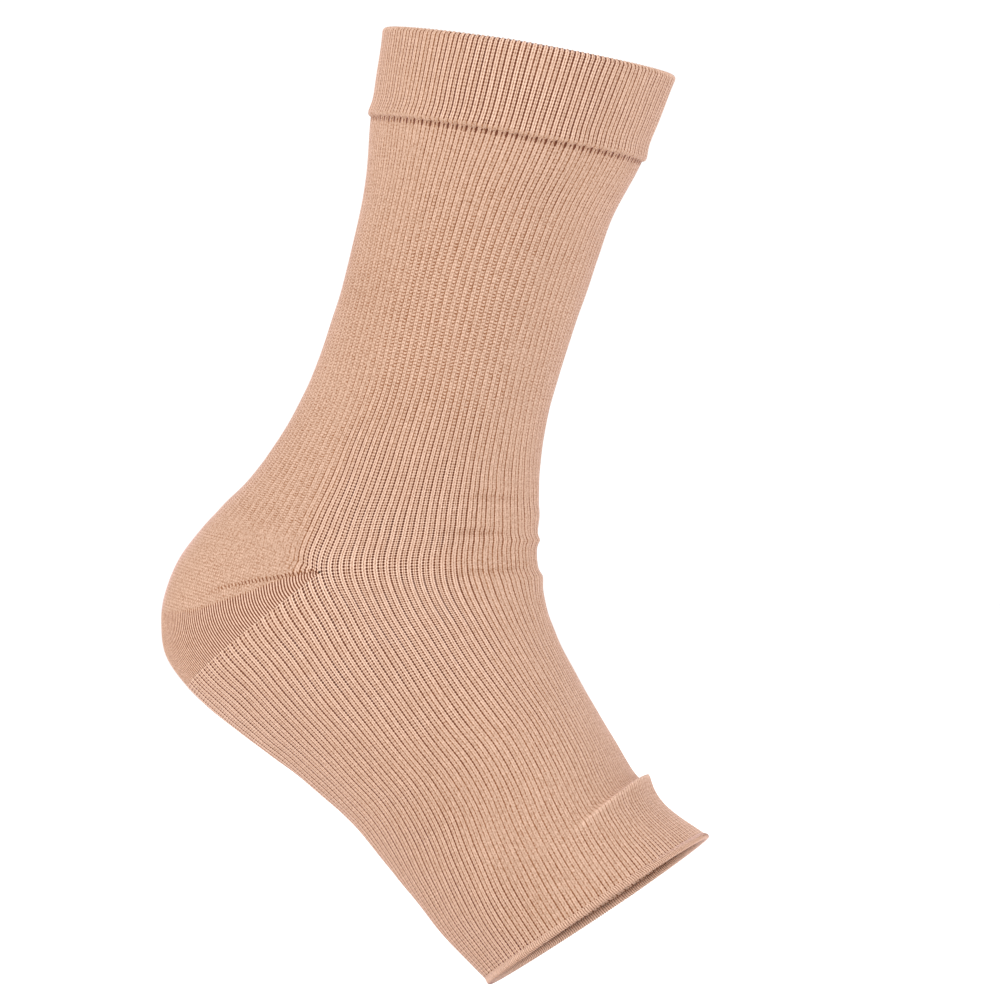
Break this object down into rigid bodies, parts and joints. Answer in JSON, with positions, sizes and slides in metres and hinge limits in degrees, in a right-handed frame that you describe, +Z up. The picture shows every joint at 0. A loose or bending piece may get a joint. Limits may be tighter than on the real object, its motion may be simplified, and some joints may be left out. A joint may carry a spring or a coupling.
{
  "type": "compression ankle sleeve",
  "caption": "Open-toe compression ankle sleeve: a ribbed elastic knit tube in its worn, bent shape, with a turned welt, a plain heel pocket and a bound-off toe edge.",
  "frame": {"origin": "middle of the ankle, inside the hollow, where the wearer's leg holds the sleeve up", "axes": "+Z up along the leg, +X towards the toes, +Y across the ankle"},
  "size_m": [0.1638, 0.0838, 0.2806],
  "materials": {
    "rib_knit": "beige elastic mock rib, soft satin sheen, fine tuck holes between the ribs",
    "welt_knit": "beige ribbed knit turned double, soft satin sheen",
    "heel_knit": "beige fine plain knit, smooth and a little shinier",
    "bound_edge": "beige bound-off loops, slightly lighter"
  },
  "bodies": {
    "root": {"welt": "welt_knit", "leg": "rib_knit", "heel_pocket": "heel_knit", "foot": "rib_knit", "toe_edge": "bound_edge"}
  },
  "joints": []
}
